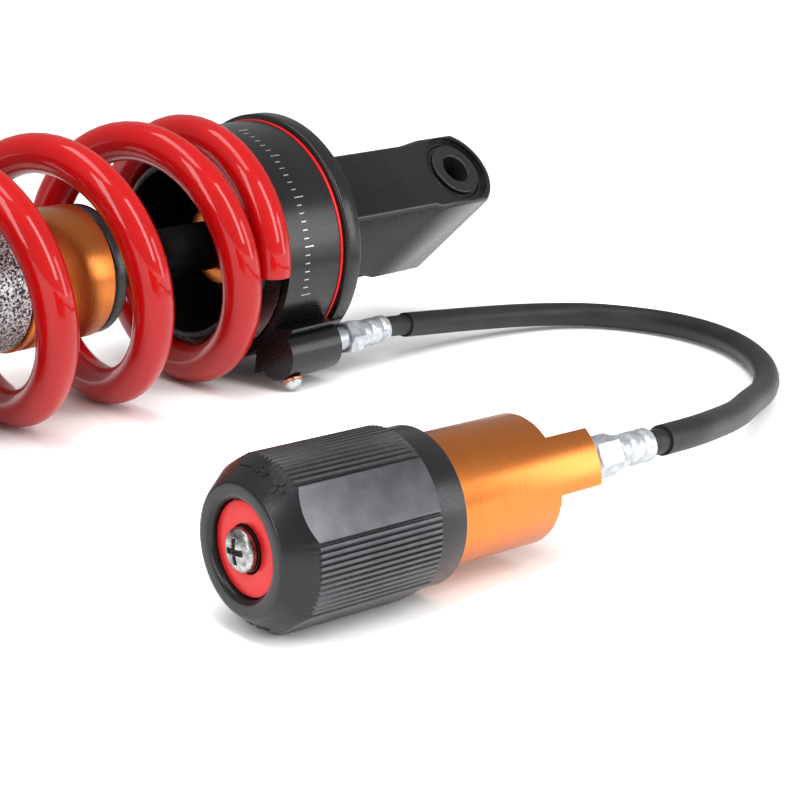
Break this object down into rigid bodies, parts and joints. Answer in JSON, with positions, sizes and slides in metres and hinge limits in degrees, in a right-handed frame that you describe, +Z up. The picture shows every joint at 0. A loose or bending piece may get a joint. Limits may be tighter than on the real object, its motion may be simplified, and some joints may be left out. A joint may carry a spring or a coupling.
{
  "type": "shock absorber with preload pump",
  "caption": "Coil-over shock absorber with a hydraulic spring-preload collar, joined by a hose to a hand-turned pump.",
  "frame": {"origin": "middle of the footprint of the shock and the pump on the table, without the hose", "axes": "+X along the shock towards its upper eye; +Z up from the table; the pump lies on the -Y side"},
  "size_m": [0.373, 0.2151, 0.0759],
  "materials": {
    "black_anodised": "satin black anodised",
    "knob_anodised": "satin dark grey anodised",
    "orange_anodised": "satin orange-gold anodised",
    "red_anodised": "bright red anodised",
    "red_powder_coat": "glossy red powder coat on spring steel",
    "zinc": "bright zinc plate",
    "steel": "ground steel",
    "bronze": "plain bearing bronze",
    "copper": "soft copper",
    "rubber": "satin black rubber",
    "foil_label": "dark tube under a silver-speckled foil wrap",
    "bump_foam": "matte black foam rubber"
  },
  "bodies": {
    "shock_upper": {"eye_block": "black_anodised", "upper_bush_1": "black_anodised", "upper_bush_2": "black_anodised", "top_flange": "black_anodised", "red_ring": "red_anodised", "preload_collar": "black_anodised", "guide_cup": "black_anodised", "collar_bleed_washer": "copper", "collar_bleed_screw": "zinc", "damper_rod": "steel", "bump_stop": "bump_foam", "bump_washer": "orange_anodised", "damper_piston": "bronze", "spring": "red_powder_coat", "bearing_cap": "bronze", "thrust_washer": "bronze", "detent_ball": "steel", "detent_spring": "steel", "pump_body": "orange_anodised", "piston_key": "steel", "pump_bleed_washer": "copper", "pump_bleed_screw": "zinc", "collar_fitting": "zinc", "collar_ferrule": "zinc", "pump_fitting": "zinc", "pump_ferrule": "zinc", "hose_core": "rubber", "hose_sleeve": "rubber"},
    "upper_sleeve": {"upper_eye_sleeve": "black_anodised"},
    "shock_lower": {"head_ring": "black_anodised", "rod_wiper": "rubber", "damper_head": "orange_anodised", "damper_tube": "foil_label", "gas_piston": "bronze", "lower_spring_seat": "black_anodised", "seat_nut": "black_anodised", "lower_eye": "black_anodised", "lower_bush": "rubber"},
    "lower_sleeve": {"lower_eye_sleeve": "steel"},
    "ram": {"preload_ram": "steel", "ram_outer_seal": "rubber", "ram_inner_seal": "rubber"},
    "knob": {"knob": "knob_anodised", "knob_disc": "red_anodised", "knob_washer": "black_anodised", "knob_screw": "zinc", "spindle": "steel"},
    "pump_piston": {"pump_piston": "steel", "piston_seal": "rubber"}
  },
  "joints": [
    {"name": "upper_sleeve_turn", "type": "hinge", "parent": "shock_upper", "child": "upper_sleeve", "pos_m": [0.1563, 0.06969, 0.038], "axis": [0, -0.7431, 0.6691], "continuous": true},
    {"name": "compression", "type": "slide", "parent": "shock_upper", "child": "shock_lower", "axis": [1, 0, 0], "range_m": [0, 0.048], "stiffness_N_per_m": 90000, "deforming": ["spring"]},
    {"name": "lower_sleeve_turn", "type": "hinge", "parent": "shock_lower", "child": "lower_sleeve", "pos_m": [-0.1549, 0.06969, 0.038], "axis": [0, -0.7431, 0.6691], "continuous": true},
    {"name": "knob_turn", "type": "hinge", "parent": "shock_upper", "child": "knob", "pos_m": [-0.02, -0.08781, 0.0184], "axis": [0.9911, -0.1333, 0], "range_deg": [0, 3114]},
    {"name": "pump_stroke", "type": "slide", "parent": "shock_upper", "child": "pump_piston", "axis": [0.9911, -0.1333, 0], "range_m": [0, 0.013]},
    {"name": "ram_stroke", "type": "slide", "parent": "shock_upper", "child": "ram", "axis": [-1, 0, 0], "range_m": [0, 0.0045], "deforming": ["spring"]}
  ],
  "couplings": [
    {"joint": "pump_stroke", "follows": "knob_turn", "m_per_rad": 0.00023873},
    {"joint": "ram_stroke", "follows": "knob_turn", "m_per_rad": 0.0000825}
  ]
}
